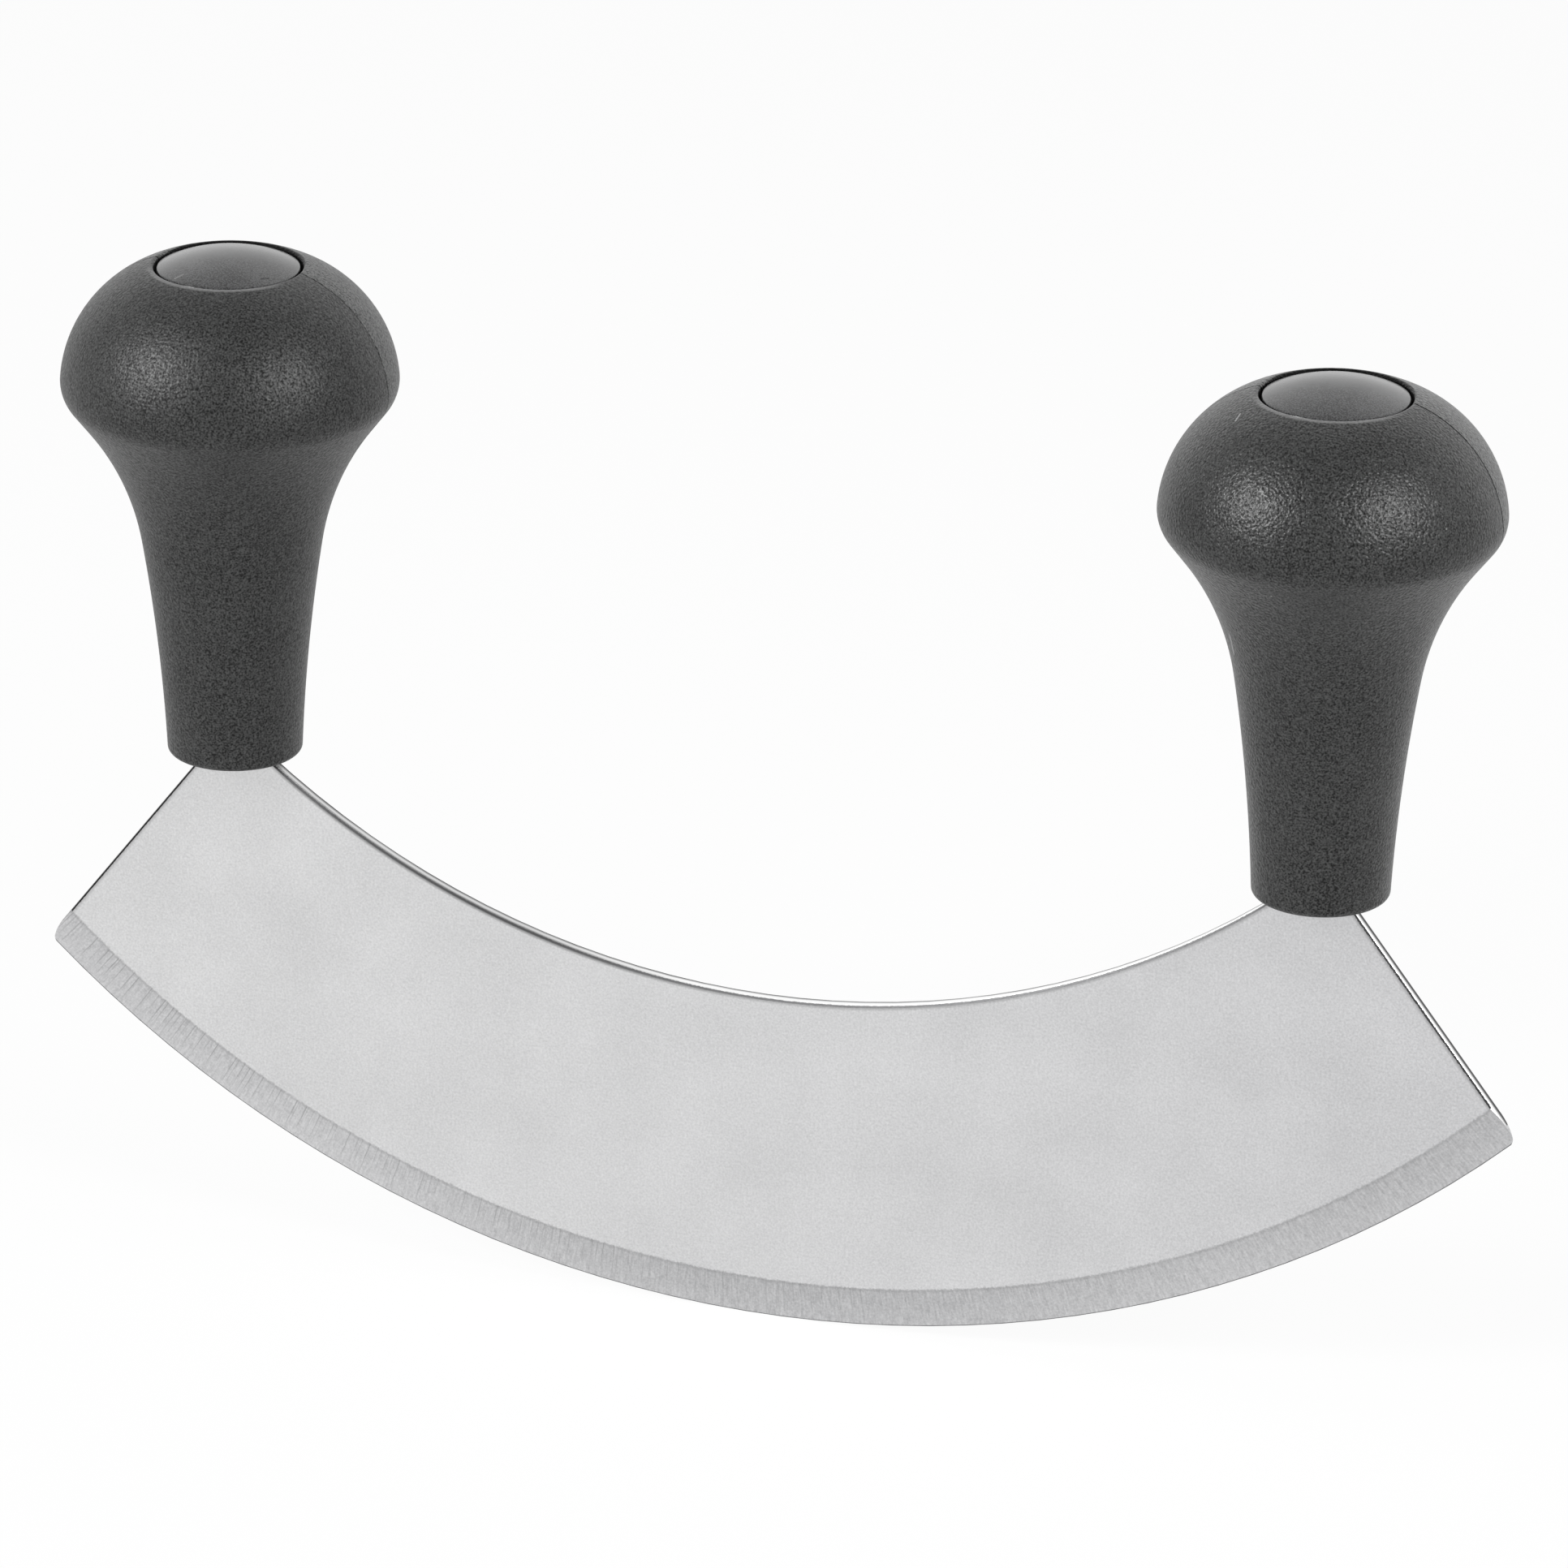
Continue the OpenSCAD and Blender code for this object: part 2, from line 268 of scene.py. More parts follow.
def cap_outline():
    """Half section of a cap as (radius, height over the rim), from its underside to the top of its dome."""
    ledge = -LEDGE_DEPTH
    cap_radius = HOLE_RADIUS - CAP_GAP
    dome_reach = cap_radius - CAP_ROUND
    dome_core_radius = (dome_reach ** 2 + CAP_RISE ** 2) / (2 * CAP_RISE)
    dome_radius = dome_core_radius + CAP_ROUND
    dome_centre = Vector((0, -CAP_DROP + CAP_RISE - dome_radius))
    edge_centre = Vector((dome_reach, -CAP_DROP - CAP_ROUND))
    sweep = math.asin(dome_reach / dome_core_radius)
    skirt_taper = CORE_DRAFT * SKIRT_LENGTH / (CORE_DEPTH - LEDGE_DEPTH)
    skirt_root = CORE_RADIUS - SKIRT_GAP
    skirt_tip = skirt_root - skirt_taper
    quarter_turn = math.pi / 2
    return [
        Vector((0, ledge)),
        Vector((skirt_tip - SKIRT_WALL, ledge)),
        Vector((skirt_tip - SKIRT_WALL, ledge - SKIRT_LENGTH)),
        Vector((skirt_tip, ledge - SKIRT_LENGTH)),
        Vector((skirt_root, ledge)),
        Vector((cap_radius, ledge)),
        Vector((cap_radius, edge_centre.y)),
        *arc(edge_centre, CAP_ROUND, 0, quarter_turn - sweep, 5 * ARC_STEP),
        *arc(dome_centre, dome_radius, quarter_turn - sweep, quarter_turn, ARC_STEP / 2),
    ]


# Meshes

def columns():
    """Columns of a turned mesh as (angle, offset along the wall, share of the seam's depth)."""
    corner = math.atan2(TANG_SLOT[1], TANG_SLOT[0])
    corners = [corner, math.pi - corner, math.pi + corner, 2 * math.pi - corner]
    seams = [0, math.pi]
    plain = [i * COLUMN_STEP for i in range(round(2 * math.pi / COLUMN_STEP))]
    found = [(c, 0, 0) for c in corners]
    for angle in plain:
        by_corner = min(abs(angle - c) for c in corners) <= COLUMN_STEP / 3
        on_seam = any(math.isclose(angle, s, abs_tol=1e-6) for s in seams)
        if not by_corner and not on_seam:
            found.append((angle, 0, 0))
    for seam in seams:
        for across, depth in SEAM_SECTION:
            found.append((seam, across * SEAM_HALF_WIDTH, depth))
    return sorted(found, key=lambda c: (c[0] + c[1]) % (2 * math.pi))


def slot_point(angle, level):
    """Point of the tang's rectangular slot in a direction from the axis."""
    half_width, half_thickness = TANG_SLOT
    across = abs(math.cos(angle)) / half_width
    through = abs(math.sin(angle)) / half_thickness
    reach = 1 / max(across, through)
    return (reach * math.cos(angle), reach * math.sin(angle), level)


def slot_ring(level):
    """The ring that the tang's slot makes in a flat of the handle."""
    return [slot_point(angle + offset / CORE_RADIUS, level) for angle, offset, depth in columns()]


def round_ring(radius, level, normal=Vector((1, 0)), seam=0):
    """One ring of a turned mesh, let in against its normal by up to a seam's depth."""
    ring = []
    for angle, offset, depth in columns():
        turn = angle + offset / max(radius, CORE_RADIUS)
        r = radius - seam * depth * normal.x
        z = level - seam * depth * normal.y
        ring.append((r * math.cos(turn), r * math.sin(turn), z))
    return ring


def mesh_object(name, points, faces, place):
    """A new smooth mesh with its sharp corners kept, at a place in the frame."""
    mesh = bpy.data.meshes.new(name)
    mesh.from_pydata([Vector(p) + place for p in points], [], faces)
    mesh.validate()
    mesh.shade_smooth()
    mesh.set_sharp_from_angle(angle=SHARP_ANGLE)
    piece = bpy.data.objects.new(name, mesh)
    bpy.context.scene.collection.objects.link(piece)
    return piece


def ring_faces(rings, closed):
    """Four-sided faces between each ring and the next, and from the last to the first if closed."""
    faces = []
    count = len(rings[0])
    pairs = len(rings) if closed else len(rings) - 1
    for i in range(pairs):
        low = i * count
        high = (i + 1) % len(rings) * count
        for j in range(count):
            k = (j + 1) % count
            faces.append((low + j, low + k, high + k, high + j))
    return faces


def outline_normals(outline):
    """Outward direction at each point of an outline."""
    normals = []
    for i in range(len(outline)):
        before = outline[max(i - 1, 0)]
        after = outline[min(i + 1, len(outline) - 1)]
        along = (after - before).normalized()
        normals.append(Vector((along.y, -along.x)))
    return normals


def make_handle(side, material):
    """A knob handle with its hole, core, tang slot and parting line. Gives the middle of its rim."""
    low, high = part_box(f"{side}_handle")
    axis = Vector(((low.x + high.x) / 2, 0, low.z))
    outline = handle_outline()
    rim = outline[-1].y + HOLE_ROUND
    ledge = rim - LEDGE_DEPTH
    web = rim - CORE_DEPTH
    rings = [slot_ring(0)]
    for point, normal in zip(outline, outline_normals(outline)):
        on_head = point.y > rim - SEAM_LENGTH
        rings.append(round_ring(point.x, point.y, normal, SEAM_DEPTH if on_head else 0))
    rings += [
        round_ring(HOLE_RADIUS, ledge),
        round_ring(CORE_RADIUS, ledge),
        round_ring(CORE_RADIUS - CORE_DRAFT, web),
        slot_ring(web),
    ]
    points = [p for ring in rings for p in ring]
    piece = mesh_object(f"{side}_knob", points, ring_faces(rings, closed=True), axis)
    piece.data.materials.append(material)
    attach(piece, "root")
    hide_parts(f"{side}_handle")
    return axis + Vector((0, 0, rim))


def make_cap(side, material, rim):
    """A domed plug turned from its outline, seated in the hole of a handle."""
    outline = cap_outline()
    rings = [round_ring(point.x, point.y) for point in outline[1:-1]]
    points = [p for ring in rings for p in ring]
    faces = ring_faces(rings, closed=False)
    count = len(rings[0])
    last = (len(rings) - 1) * count
    bottom = len(points)
    top = bottom + 1
    points += [(0, 0, outline[0].y), (0, 0, outline[-1].y)]
    for j in range(count):
        k = (j + 1) % count
        faces.append((bottom, k, j))
        faces.append((top, last + j, last + k))
    piece = mesh_object(f"{side}_plug", points, faces, rim)
    piece.data.materials.append(material)
    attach(piece, "root")
    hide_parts(f"{side}_cap")


# Shader nodes

def node(tree, kind, inputs=None, **settings):
    """Adds a node, with its settings and with its inputs as values or as sockets to join."""
    made = tree.nodes.new(kind)
    for name, value in settings.items():
        setattr(made, name, value)
    for name, value in (inputs or {}).items():
        if isinstance(value, bpy.types.NodeSocket):
            tree.links.new(value, made.inputs[name])
        else:
            made.inputs[name].default_value = value
    return made


def new_material(name):
    """An empty node material and its tree."""
    material = bpy.data.materials.new(name)
    material.use_nodes = True
    material.node_tree.nodes.clear()
    return material, material.node_tree


def finish_material(tree, shader):
    """Joins a shader to the material's output."""
    node(tree, "ShaderNodeOutputMaterial", {"Surface": shader.outputs[0]})


def math_node(tree, operation, first, second=0.0, third=0.0):
    """The result of one operation on numbers or sockets."""
    made = node(tree, "ShaderNodeMath", {0: first, 1: second, 2: third}, operation=operation)
    return made.outputs[0]


def absolute(tree, value):
    """A value without its sign."""
    return math_node(tree, "ABSOLUTE", value)


def difference(tree, first, second):
    """The first value less the second."""
    return math_node(tree, "SUBTRACT", first, second)


def weighted(tree, value, factor, base=0.0):
    """A value times a factor, on top of a base."""
    return math_node(tree, "MULTIPLY_ADD", value, factor, base)


def total(tree, *terms):
    """The sum of sockets and numbers."""
    result = terms[0]
    for term in terms[1:]:
        result = math_node(tree, "ADD", result, term)
    return result


def product(tree, *factors):
    """The product of sockets and numbers."""
    result = factors[0]
    for factor in factors[1:]:
        result = math_node(tree, "MULTIPLY", result, factor)
    return result


def length(tree, across, along):
    """The length of a flat vector from its two parts."""
    squares = weighted(tree, across, across, weighted(tree, along, along))
    return math_node(tree, "SQRT", squares)


def ramp(tree, value, low, high, low_result=0.0, high_result=1.0):
    """A value taken from one range to another, and held at its ends."""
    made = node(
        tree,
        "ShaderNodeMapRange",
        {"Value": value, "From Min": low, "From Max": high, "To Min": low_result, "To Max": high_result},
        clamp=True,
    )
    return made.outputs["Result"]


def blend(tree, factor, first, second):
    """The first colour where the factor is 0, and the second where it is 1."""
    made = node(
        tree,
        "ShaderNodeMix",
        {"Factor": factor, "A": first, "B": second},
        data_type="RGBA",
    )
    return made.outputs[2]


def object_place(tree):
    """Coordinates in the frame, in metres."""
    return node(tree, "ShaderNodeTexCoord").outputs["Object"]


def parts_of(tree, vector):
    """The three coordinates of a vector."""
    return node(tree, "ShaderNodeSeparateXYZ", {0: vector}).outputs


def noise(tree, place, size, detail=2.0, roughness=0.5):
    """Noise from 0 to 1 whose grains are about a given size in metres."""
    made = node(
        tree,
        "ShaderNodeTexNoise",
        {"Vector": place, "Scale": 1 / size, "Detail": detail, "Roughness": roughness},
    )
    return made.outputs["Fac"]


def line_cells(tree, value, spacing):
    """Lines scattered along one value in metres: the distance to the nearest, and its random shade."""
    made = node(
        tree,
        "ShaderNodeTexVoronoi",
        {"W": value, "Scale": 1 / spacing},
        voronoi_dimensions="1D",
    )
    shade = node(tree, "ShaderNodeSeparateColor", {0: made.outputs["Color"]}).outputs[0]
    return weighted(tree, made.outputs["Distance"], spacing), shade


def mark(tree, distance, reach):
    """1 in the core of a small mark, falling to 0 at its reach."""
    return ramp(tree, distance, reach, MARK_CORE * reach)


def specks(tree, place, spacing, size):
    """1 on small scattered specks, about one to each block of a given spacing, otherwise 0."""
    cells = node(tree, "ShaderNodeTexVoronoi", {"Vector": place, "Scale": 1 / spacing})
    return mark(tree, cells.outputs["Distance"], size / spacing)


def relief(tree, height, depth, strength):
    """Normals of a surface with fine relief of a given depth in metres."""
    bump = node(tree, "ShaderNodeBump", {"Strength": strength, "Distance": depth, "Height": height})
    return bump.outputs["Normal"]


# Materials of the handles

def near_line(tree, parts, axis_x, ends, half_width):
    """1 close to a straight mark on a handle or cap, from its two ends seen from above, otherwise 0."""
    start, end = [Vector(place) for place in ends]
    way = (end - start).normalized()
    mark_length = (end - start).length
    from_start_x = difference(tree, parts[0], axis_x + start.x)
    from_start_y = difference(tree, parts[1], start.y)
    ahead = weighted(tree, from_start_x, way.x, weighted(tree, from_start_y, way.y))
    nearest = ramp(tree, ahead, 0.0, mark_length, 0.0, mark_length)
    aside_x = weighted(tree, nearest, -way.x, from_start_x)
    aside_y = weighted(tree, nearest, -way.y, from_start_y)
    return mark(tree, length(tree, aside_x, aside_y), half_width)


def hole_masks(tree, place, parts, axis_reach, rim_level):
    """1 on the wall of the hole in each head, where shade is painted because little light falls there, and
    1 on its near rim, where a highlight is painted.
    """
    x, y, z = parts
    from_axis = length(tree, difference(tree, absolute(tree, x), axis_reach), y)
    edge = weighted(tree, noise(tree, place, RAGGED_SIZE), RAGGED_REACH, from_axis)
    # Painted shade reaches further out on the far side of the hole
    inner_edge = difference(tree, edge, ramp(tree, y, 2 * MM, 6 * MM, 0.0, FAR_SHADE))
    in_hole = ramp(tree, inner_edge, HOLE_RADIUS + 0.18 * MM, HOLE_RADIUS + 0.12 * MM)
    high = ramp(tree, z, rim_level - CORE_DEPTH, rim_level - LEDGE_DEPTH)
    by_hole = ramp(tree, edge, HOLE_RADIUS + RIM_HIGHLIGHT_WIDTH, HOLE_RADIUS + 0.75 * RIM_HIGHLIGHT_WIDTH)
    near = ramp(tree, y, -3 * MM, -7 * MM)
    top = ramp(tree, z, rim_level - 0.6 * MM, rim_level - 0.4 * MM)
    return product(tree, in_hole, high), product(tree, by_hole, near, top)


def seam_masks(tree, place, parts, axis_reach, rim_level):
    """1 in the parting line of each head, fainter on its inner side, where shade is painted into its
    groove, and 1 just behind it, where a lighter band is painted as reflection.
    """
    x, y, z = parts
    seam_foot = rim_level - SEAM_LENGTH
    head = ramp(tree, z, seam_foot, seam_foot + SEAM_FADE)
    outer_side = ramp(tree, absolute(tree, x), axis_reach, axis_reach + 2 * MM, 0.15, 1.0)
    broken = ramp(tree, noise(tree, place, 3 * MM), 0.3, 0.5, 0.5, 1.0)
    line = ramp(tree, absolute(tree, y), 0.13 * MM, 0.08 * MM)
    behind = ramp(tree, y, 0.02 * MM, 0.12 * MM)
    close = ramp(tree, y, 14 * MM, 4 * MM)
    return product(tree, line, head, outer_side, broken), product(tree, behind, close, head)


def handle_material(axis_reach, rim_level):
    """Black moulded plastic with the spark grain of its mould, pale specks and a scratch on the right."""
    material, tree = new_material("moulded_plastic")
    place = object_place(tree)
    parts = parts_of(tree, place)
    # Painted shade on the wall of the hole, and a painted highlight on its near rim
    unlit, rim_highlight = hole_masks(tree, place, parts, axis_reach, rim_level)
    # Painted shade in the groove of the parting line, and a painted lighter band just behind it
    seam, lit_behind_seam = seam_masks(tree, place, parts, axis_reach, rim_level)
    dark = math_node(tree, "MAXIMUM", unlit, seam)
    grain = noise(tree, place, GRAIN_SIZE, 0.5)
    fine = noise(tree, place, FINE_GRAIN_SIZE, 0.0)
    cloud = noise(tree, place, GRAIN_CLOUD_SIZE, 3.0)
    pores = ramp(tree, weighted(tree, cloud, 0.15, weighted(tree, grain, 0.4, fine)), 0.5, 1.05)

    # Colour: pits and tips of the grain, specks, a painted lighter band behind the parting line, a painted
    # highlight on the near rim and the scratch
    colour = blend(tree, pores, PLASTIC_PIT, PLASTIC_TIP)
    colour = blend(tree, specks(tree, place, SPECK_SPACING, SPECK_SIZE), colour, PALE_SPECK)
    # Painted reflection: lighter just behind the parting line
    colour = blend(tree, product(tree, lit_behind_seam, pores), colour, PAINTED_LIGHT_BEHIND_SEAM)
    # Painted highlight on the near rim of the hole
    colour = blend(tree, rim_highlight, colour, PAINTED_RIM_HIGHLIGHT)
    scratch = near_line(tree, parts, axis_reach, HEAD_SCRATCH, SCRATCH_HALF_WIDTH)
    colour = blend(tree, product(tree, scratch, 0.8), colour, SCRATCHED)

    # The left handle is a little smoother in relief and duller than the right one
    on_right = ramp(tree, parts[0], -axis_reach, axis_reach)
    strength = ramp(tree, on_right, 0.0, 1.0, 0.65, 1.0)
    rough_pits = ramp(tree, on_right, 0.0, 1.0, 0.54, 0.46)
    rough_tips = ramp(tree, on_right, 0.0, 1.0, 0.44, 0.36)
    shader = node(
        tree,
        "ShaderNodeBsdfPrincipled",
        {
            # Painted shade: the hole's wall and the parting line darkened to near black
            "Base Color": blend(tree, dark, colour, PLASTIC_PIT),
            "Roughness": ramp(tree, grain, 0.3, 0.7, rough_pits, rough_tips),
            "IOR": 1.58,
            "Sheen Weight": 0.05,
            "Sheen Roughness": 0.45,
            # Painted shade: reflections dimmed on the hole's wall, in the parting line and in the pits of
            # the grain
            "Specular Tint": blend(tree, dark, blend(tree, pores, PIT_SHADE_TINT, PLAIN_TINT), UNLIT_TINT),
            "Normal": relief(tree, weighted(tree, fine, 0.2, grain), GRAIN_DEPTH, strength),
        },
    )
    finish_material(tree, shader)
    return material


def cap_material(axis_reach):
    """Smooth satin plastic of the plug in the head of each handle, with two small marks on the left one."""
    material, tree = new_material("satin_plastic")
    place = object_place(tree)
    parts = parts_of(tree, place)
    haze = noise(tree, place, HAZE_SIZE, 1.0)
    cloud = noise(tree, place, HAZE_CLOUD_SIZE)
    shade = weighted(tree, cloud, 0.2, weighted(tree, haze, 0.8))
    colour = blend(tree, ramp(tree, shade, 0.4, 0.6), PLASTIC_PIT, CAP_LIGHT)
    scuff = near_line(tree, parts, -axis_reach, CAP_SCUFF, SCUFF_HALF_WIDTH)
    nick = near_line(tree, parts, -axis_reach, CAP_NICK, NICK_HALF_WIDTH)
    shader = node(
        tree,
        "ShaderNodeBsdfPrincipled",
        {
            "Base Color": blend(tree, product(tree, scuff, 0.6), colour, CAP_SCUFFED),
            "Roughness": ramp(tree, haze, 0.3, 0.7, 0.18, 0.24),
            "IOR": 1.6,
            "Specular Tint": blend(tree, nick, PLAIN_TINT, NICK_TINT),
            "Normal": relief(tree, haze, HAZE_DEPTH, 0.5),
        },
    )
    finish_material(tree, shader)
    return material


# Materials of the blade and the washers

def from_point(tree, place, z):
    """Coordinates and distance of a place from a line through the middle of the blade at a height."""
    offset = node(
        tree,
        "ShaderNodeVectorMath",
        {0: place, 1: (0, 0, z)},
        operation="SUBTRACT",
    ).outputs[0]
    parts = parts_of(tree, offset)
    return parts, length(tree, parts[0], parts[2])


def depth_from_cut(tree, place, foot_level):
    """Distance into the sheet from the nearest of the spine and the two straight ends."""
    spine_rise = foot_level - BLADE_DEPTH
    spine_radius = (HORN_INNER ** 2 + spine_rise ** 2) / (2 * spine_rise)
    radius = from_point(tree, place, BLADE_DEPTH + spine_radius)[1]
    from_spine = difference(tree, radius, spine_radius)
    parts = parts_of(tree, place)
    outwards = difference(tree, absolute(tree, parts[0]), HORN_OUTER)
    upwards = difference(tree, parts[2], foot_level)
    past_end = weighted(tree, outwards, math.cos(END_ANGLE), weighted(tree, upwards, math.sin(END_ANGLE)))
    return math_node(tree, "MINIMUM", from_spine, weighted(tree, past_end, -1.0))


def bevel_marks(tree, along, radius, y):
    """Fine grinding marks across the bevel, as noise stretched along the radius."""
    stretched = node(
        tree,
        "ShaderNodeCombineXYZ",
        {0: along, 1: weighted(tree, radius, GRINDING_STRETCH), 2: y},
    )
    return noise(tree, stretched.outputs[0], GRINDING_SIZE, 3.0, 0.6)


def bevel_colour(tree, place, along, radius, border, satin, marks):
    """Colour of the ground bevel, with its marks and scratches, and a darker border and edge line."""
    from_middle = absolute(tree, along)
    middle = ramp(tree, from_middle, 20 * MM, 60 * MM, -0.15, 0.0)
    tips = ramp(tree, from_middle, 60 * MM, 92 * MM, 0.0, -0.14)
    left_end = ramp(tree, along, 0.0, -90 * MM, 0.0, 0.26)
    mottle = weighted(tree, satin, 0.6, weighted(tree, marks, 0.6))
    mottled = ramp(tree, mottle, 0.4, 0.8, 0.0, 0.8)
    to_edge = ramp(tree, radius, FLAT_RADIUS, EDGE_RADIUS)
    shade = weighted(tree, to_edge, 0.2, total(tree, mottled, total(tree, middle, tips, left_end)))
    colour = blend(tree, shade, GROUND_DARK, GROUND_LIGHT)

    wavering = weighted(tree, noise(tree, place, SCRATCH_WAVE_SIZE), SCRATCH_WAVE_REACH, along)
    to_scratch, scratch_shade = line_cells(tree, wavering, SCRATCH_SPACING)
    scratches = ramp(tree, to_scratch, 0.03 * MM, 0.10 * MM, scratch_shade, 0.0)
    towards_left = ramp(tree, along, 60 * MM, -80 * MM, 0.2, 0.7)
    fading = ramp(tree, radius, FLAT_RADIUS + 1.5 * MM, EDGE_RADIUS - 0.4 * MM, 0.75, 0.1)
    colour = blend(tree, product(tree, scratches, towards_left, fading), colour, GROUND_SCRATCH)

    fringe = ramp(tree, border, FLAT_RADIUS + 0.2 * MM, FLAT_RADIUS + 0.75 * MM, 0.42, 0.0)
    colour = blend(tree, fringe, colour, GROUND_SCRATCH)
    rim_line = ramp(tree, radius, EDGE_RADIUS - 0.16 * MM, EDGE_RADIUS - 0.08 * MM)
    return blend(tree, rim_line, colour, EDGE_LINE)


def face_colour(tree, x, reach, depth, cloud, satin):
    """Colour of the faces of the sheet, darker towards the right and lighter in the middle as painted
    reflection, with painted shade just inside its cut edges.
    """
    tone = ramp(tree, weighted(tree, cloud, 0.3, weighted(tree, satin, 0.7)), 0.3, 0.7)
    # Painted reflection: the face darker towards the right and lifted a little in the middle
    towards_right = ramp(tree, x, -90 * MM, 90 * MM)
    left = blend(tree, tone, *FACE_LEFT)
    right = blend(tree, tone, *FACE_RIGHT)
    colour = blend(tree, towards_right, left, right)
    middle = ramp(tree, reach, 80 * MM, 20 * MM, 0.0, 0.06)
    colour = blend(tree, middle, colour, FACE_LIFT)
    # Painted shade just inside the cut edges, stronger on the left and weaker at the left end
    inside = ramp(tree, depth, EDGE_BREAK, EDGE_BREAK + INSIDE_SHADE, 1.0, 0.0)
    edge_shade_strength = ramp(tree, x, -20 * MM, 0.0, 0.85, 0.5)
    left_end_fade = ramp(tree, x, -HORN_INNER, 4 * MM - HORN_INNER, 0.5, 1.0)
    return blend(tree, product(tree, inside, edge_shade_strength, left_end_fade), colour, PAINTED_EDGE_SHADE)


def broken_colour(tree, reach, towards_right):
    """Colour of the broken edges, painted dark as reflection: dark grey along the spine, paler towards the
    right, and black at the two ends.
    """
    on_spine = ramp(tree, reach, HORN_INNER, HORN_INNER - 4 * MM)
    spine_shade = blend(tree, towards_right, PAINTED_EDGE_SHADE, PAINTED_PALE_EDGE_SHADE)
    return blend(tree, on_spine, BLACK_EDGE, spine_shade)


def cut_colour(tree, y, reach, towards_right, cloud):
    """Colour of the cut: sheared bright, darker on the left as painted reflection, with painted shade along
    its front on the left, and a painted grey reflection towards the back.
    """
    sheared = blend(tree, towards_right, SHEARED_LEFT, SHEARED)
    at_left = ramp(tree, towards_right, 1.0, 0.0)
    # Painted shade along the front of the cut on the left
    front = ramp(tree, y, -0.2 * MM, -0.55 * MM, 0.0, 0.6)
    sheared = blend(tree, product(tree, front, at_left), sheared, PAINTED_EDGE_SHADE)
    # Painted grey reflection towards the back of the cut, reaching further forward at the ends
    at_ends = ramp(tree, reach, HORN_INNER, HORN_OUTER, 0.0, 0.35 * MM)
    back_reflection = ramp(tree, weighted(tree, cloud, 0.4 * MM, total(tree, y, at_ends)), 0.15 * MM, 0.7 * MM)
    return blend(tree, back_reflection, sheared, PAINTED_GREY_REFLECTION)


def blade_material(foot_level):
    """Satin sheet steel with a cross-ground bevel, broken edges and a sheared cut."""
    material, tree = new_material("satin_steel")
    place = object_place(tree)
    parts, radius = from_point(tree, place, EDGE_RADIUS)
    x, y, z = parts
    along = weighted(tree, math_node(tree, "ARCTAN2", x, weighted(tree, z, -1.0)), EDGE_RADIUS)
    reach = absolute(tree, x)
    depth = depth_from_cut(tree, place, foot_level)
    ragged = noise(tree, place, BORDER_SIZE)
    satin = noise(tree, place, SATIN_SIZE, 2.0, 0.6)
    cloud = noise(tree, place, SHEET_CLOUD_SIZE, 3.0)
    marks = bevel_marks(tree, along, radius, y)

    # Bevel and face meet along a ragged border
    border = weighted(tree, ragged, BORDER_REACH, radius)
    ground = ramp(tree, border, FLAT_RADIUS + 0.12 * MM, FLAT_RADIUS + 0.38 * MM)
    ground_colour = bevel_colour(tree, place, along, radius, border, satin, marks)
    colour = blend(tree, ground, face_colour(tree, x, reach, depth, cloud, satin), ground_colour)

    # Broken edges above the bevel, painted dark as reflection, and the cut between them
    wavy_depth = weighted(tree, ragged, CUT_WAVE_REACH, depth)
    towards_right = ramp(tree, x, -30 * MM, -10 * MM)
    above_bevel = ramp(tree, radius, FLAT_RADIUS, FLAT_RADIUS + 0.1 * MM, 1.0, 0.0)
    broken = ramp(tree, wavy_depth, EDGE_BREAK + 0.10 * MM, EDGE_BREAK + 0.05 * MM, 0.0, above_bevel)
    colour = blend(tree, broken, colour, broken_colour(tree, reach, towards_right))
    cut = ramp(tree, wavy_depth, CUT_DEPTH + 0.03 * MM, CUT_DEPTH)
    colour = blend(tree, cut, colour, cut_colour(tree, y, reach, towards_right, cloud))

    height = node(
        tree,
        "ShaderNodeMix",
        {"Factor": ground, "A": satin, "B": marks},
        data_type="FLOAT",
    ).outputs[0]
    shader = node(
        tree,
        "ShaderNodeBsdfPrincipled",
        {
            "Base Color": colour,
            "Metallic": 1.0,
            "Roughness": ramp(tree, satin, 0.3, 0.7, 0.36, 0.42),
            "Normal": relief(tree, height, SATIN_DEPTH, 0.6),
        },
    )
    finish_material(tree, shader)
    return material


def washer_material():
    """Plain stamped steel of the washers inside the handles."""
    material, tree = new_material("stamped_steel")
    cloud = noise(tree, object_place(tree), WASHER_CLOUD_SIZE, 3.0)
    shader = node(
        tree,
        "ShaderNodeBsdfPrincipled",
        {
            "Base Color": blend(tree, cloud, WASHER_DARK, WASHER_LIGHT),
            "Metallic": 1.0,
            "Roughness": ramp(tree, cloud, 0.3, 0.7, 0.38, 0.52),
            "Normal": relief(tree, cloud, WASHER_DEPTH, 0.4),
        },
    )
    finish_material(tree, shader)
    return material


# Stage

def seen_directly(tree):
    """1 for the camera's rays and for what metal and glass show, otherwise 0."""
    path = node(tree, "ShaderNodeLightPath").outputs
    direct = math_node(tree, "MAXIMUM", path["Is Camera Ray"], path["Is Glossy Ray"])
    return math_node(tree, "MAXIMUM", direct, path["Is Transmission Ray"])


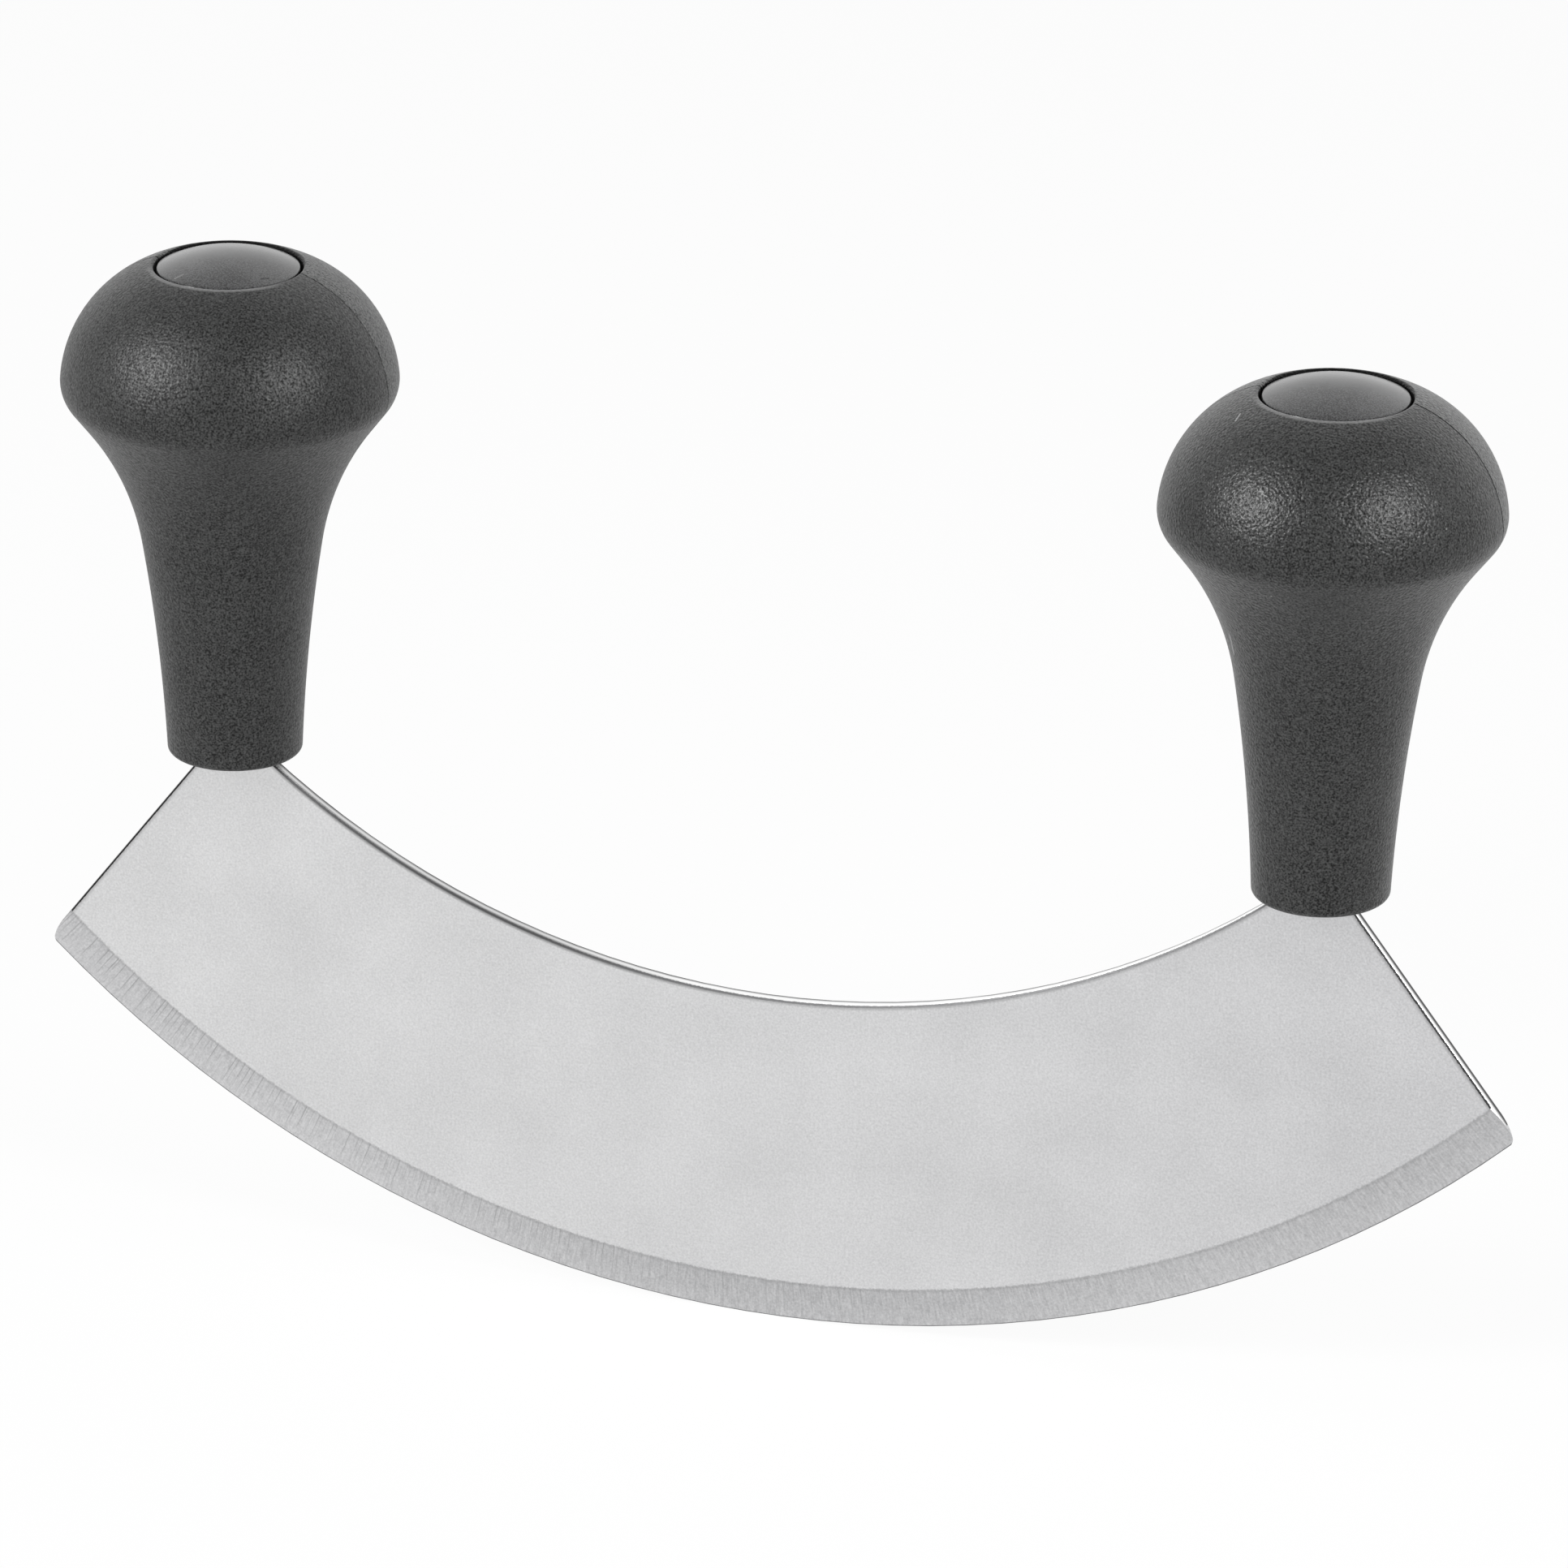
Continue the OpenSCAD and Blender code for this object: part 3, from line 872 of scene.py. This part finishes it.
def floor_material():
    """Pale matt floor that keeps the shadow and shows near white."""
    material, tree = new_material("pale_floor")
    cloud = noise(tree, object_place(tree), FLOOR_CLOUD_SIZE)
    matt = node(tree, "ShaderNodeBsdfDiffuse", {"Color": blend(tree, cloud, FLOOR_DARK, FLOOR_LIGHT)})
    glow = node(tree, "ShaderNodeEmission", {"Strength": 1.0})
    share = product(tree, seen_directly(tree), FLOOR_WHITENESS)
    both = node(tree, "ShaderNodeMixShader", {0: share, 1: matt.outputs[0], 2: glow.outputs[0]})
    finish_material(tree, both)
    return material


def make_floor():
    """A wide plain floor under the lowest point of the cutting edge."""
    half = FLOOR_REACH
    corners = [(-half, -half, 0), (half, -half, 0), (half, half, 0), (-half, half, 0)]
    mesh = bpy.data.meshes.new("floor")
    mesh.from_pydata(corners, [], [(0, 1, 2, 3)])
    mesh.materials.append(floor_material())
    floor = bpy.data.objects.new("floor", mesh)
    bpy.context.scene.collection.objects.link(floor)


def make_world():
    """A white backdrop behind the knife, fading to a dimmer room in front of it and overhead."""
    world = bpy.data.worlds.new("studio")
    bpy.context.scene.world = world
    world.use_nodes = True
    tree = world.node_tree
    tree.nodes.clear()
    direction = node(tree, "ShaderNodeTexCoord").outputs["Generated"]
    behind = parts_of(tree, direction)[1]
    across = node(
        tree,
        "ShaderNodeVectorMath",
        {0: direction, 1: (math.cos(CAMERA_YAW), math.sin(CAMERA_YAW), 0)},
        operation="DOT_PRODUCT",
    ).outputs["Value"]
    backdrop = ramp(tree, absolute(tree, across), 0.04, 0.4, MIRRORED_BACK, MIRRORED_SIDES)
    shown = ramp(tree, behind, 0.1, 0.6, MIRRORED_FRONT, backdrop)
    path = node(tree, "ShaderNodeLightPath").outputs
    mirrored = math_node(tree, "MAXIMUM", path["Is Glossy Ray"], path["Is Transmission Ray"])
    lit = ramp(tree, mirrored, 0.0, 1.0, BACKDROP_LIGHT, shown)
    strength = ramp(tree, path["Is Camera Ray"], 0.0, 1.0, lit, 1.0)
    background = node(tree, "ShaderNodeBackground", {"Color": (1, 1, 1, 1), "Strength": strength})
    node(tree, "ShaderNodeOutputWorld", {"Surface": background.outputs[0]})


def make_lamp(name, azimuth, elevation, distance, size, power):
    """A square soft lamp that faces the knife. Azimuth 0 is in front, and grows towards +X."""
    turn = math.radians(azimuth)
    rise = math.radians(elevation)
    towards = Vector((math.sin(turn) * math.cos(rise), -math.cos(turn) * math.cos(rise), math.sin(rise)))
    light = bpy.data.lights.new(name, "AREA")
    light.shape = "SQUARE"
    light.size = size
    light.energy = power
    lamp = bpy.data.objects.new(name, light)
    lamp.location = LAMP_TARGET + distance * towards
    lamp.rotation_euler = towards.to_track_quat("Z", "Y").to_euler()
    bpy.context.scene.collection.objects.link(lamp)


def make_camera():
    """The photograph's camera."""
    right = Vector((math.cos(CAMERA_YAW), math.sin(CAMERA_YAW), 0))
    back = Vector((
        math.sin(CAMERA_YAW) * math.cos(CAMERA_PITCH),
        -math.cos(CAMERA_YAW) * math.cos(CAMERA_PITCH),
        math.sin(CAMERA_PITCH),
    ))
    down = right.cross(back)
    across = math.cos(CAMERA_ROLL) * right + math.sin(CAMERA_ROLL) * down
    up = math.sin(CAMERA_ROLL) * right - math.cos(CAMERA_ROLL) * down
    data = bpy.data.cameras.new("camera")
    data.sensor_width = SENSOR_WIDTH_MM
    data.lens = FOCAL_LENGTH_PIXELS / PHOTO_SIDE * SENSOR_WIDTH_MM
    camera = bpy.data.objects.new("camera", data)
    turn = Matrix((across, up, back)).transposed().to_4x4()
    camera.matrix_world = Matrix.Translation(CAMERA_PLACE) @ turn
    bpy.context.scene.collection.objects.link(camera)
    bpy.context.scene.camera = camera


# The scene

make_camera()
make_world()
make_floor()
for lamp_settings in LAMPS:
    make_lamp(*lamp_settings)

handle_low, handle_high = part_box("left_handle")
foot_level = handle_low.z
rim_level = handle_high.z
axis_reach = -(handle_low.x + handle_high.x) / 2

handle_plastic = handle_material(axis_reach, rim_level)
cap_plastic = cap_material(axis_reach)
washer_steel = washer_material()
for side in ("left", "right"):
    rim_middle = make_handle(side, handle_plastic)
    make_cap(side, cap_plastic, rim_middle)
    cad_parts[f"{side}_washer"].material_slots[0].material = washer_steel
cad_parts["blade"].material_slots[0].material = blade_material(foot_level)

bpy.context.scene.view_settings.view_transform = "Standard"
